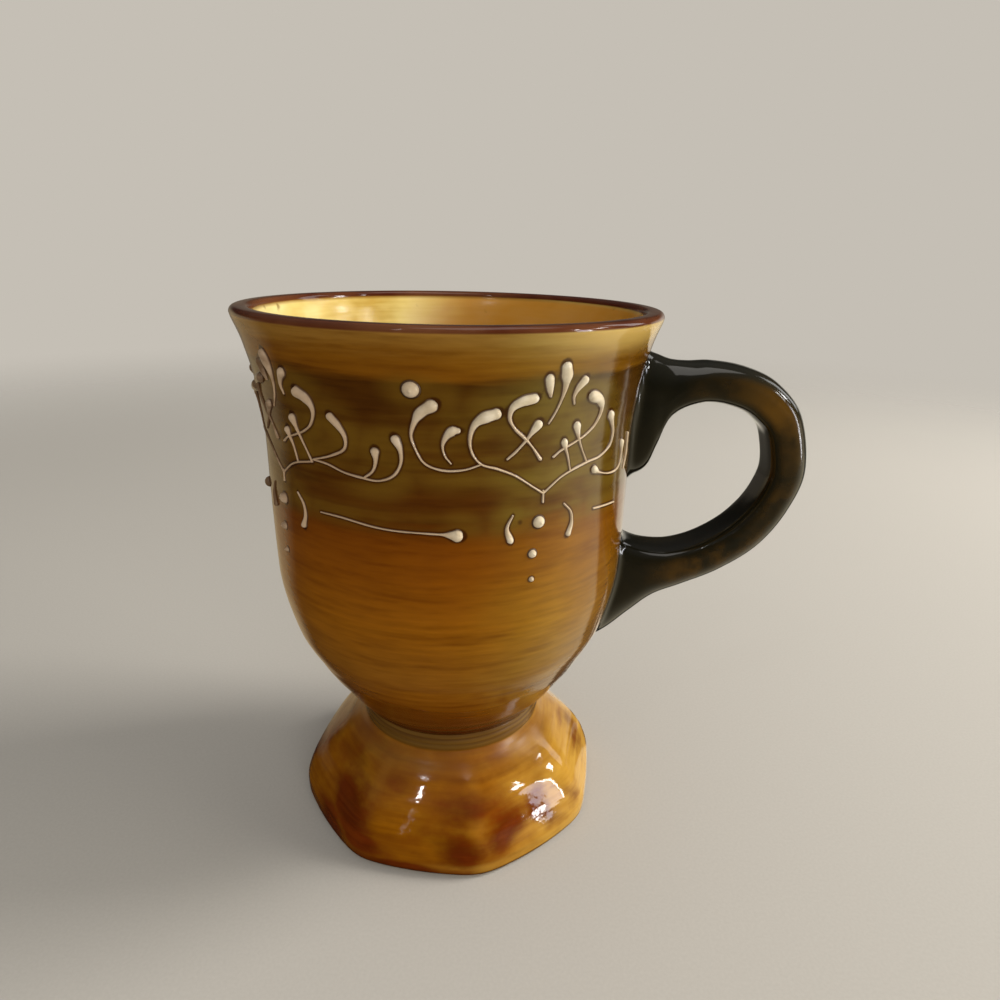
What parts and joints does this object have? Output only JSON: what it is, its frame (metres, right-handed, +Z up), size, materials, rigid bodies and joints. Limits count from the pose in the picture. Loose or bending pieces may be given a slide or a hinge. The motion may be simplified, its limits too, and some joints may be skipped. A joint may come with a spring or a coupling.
{
  "type": "footed mug",
  "caption": "Glazed stoneware mug: deep flared bowl on a hollow faceted pedestal foot, with a pulled strap handle and raised trailed-slip scroll ornament round the wall.",
  "frame": {"origin": "centre of the whole mug's plan box, handle included, on the surface that the foot stands on", "axes": "+X towards the handle, +Z up; the bowl's own axis is upright at x = -18.1 mm, y = 0"},
  "size_m": [0.1302, 0.094, 0.127],
  "materials": {
    "bowl_glaze": "glossy amber-brown glaze with a darker olive band, red-brown lip and pale honey inside",
    "foot_glaze": "glossy honey-gold glaze pooling red-brown in the facets",
    "handle_glaze": "glossy near-black olive glaze breaking to amber brown on the sides",
    "slip": "cream trailed slip under clear gloss glaze"
  },
  "bodies": {
    "root": {"bowl": "bowl_glaze", "comma_back_1": "slip", "comma_back_2": "slip", "comma_front_1": "slip", "comma_front_2": "slip", "comma_left_1": "slip", "comma_left_2": "slip", "comma_right_1": "slip", "comma_right_2": "slip", "curl_back": "slip", "curl_front": "slip", "curl_left": "slip", "curl_right": "slip", "dash_front": "slip", "dot_back": "slip", "dot_front": "slip", "dot_left": "slip", "dot_right": "slip", "foot": "foot_glaze", "handle": "handle_glaze", "leaning_drop_back": "slip", "leaning_drop_front": "slip", "leaning_drop_left": "slip", "leaning_drop_right": "slip", "pendant_back_1": "slip", "pendant_back_2": "slip", "pendant_back_3": "slip", "pendant_front_1": "slip", "pendant_front_2": "slip", "pendant_front_3": "slip", "pendant_left_1": "slip", "pendant_left_2": "slip", "pendant_left_3": "slip", "pendant_right_1": "slip", "pendant_right_2": "slip", "pendant_right_3": "slip", "scroll_back": "slip", "scroll_front": "slip", "scroll_left": "slip", "scroll_right": "slip", "short_drop_back": "slip", "short_drop_front": "slip", "short_drop_left": "slip", "short_drop_right": "slip", "spike_front": "slip", "sprig_front": "slip", "swan_back": "slip", "swan_front": "slip", "swan_left": "slip", "swan_right": "slip", "tail_back": "slip", "tail_front": "slip", "tail_left": "slip", "tall_drop_back": "slip", "tall_drop_front": "slip", "tall_drop_left": "slip", "tall_drop_right": "slip"}
  },
  "joints": []
}
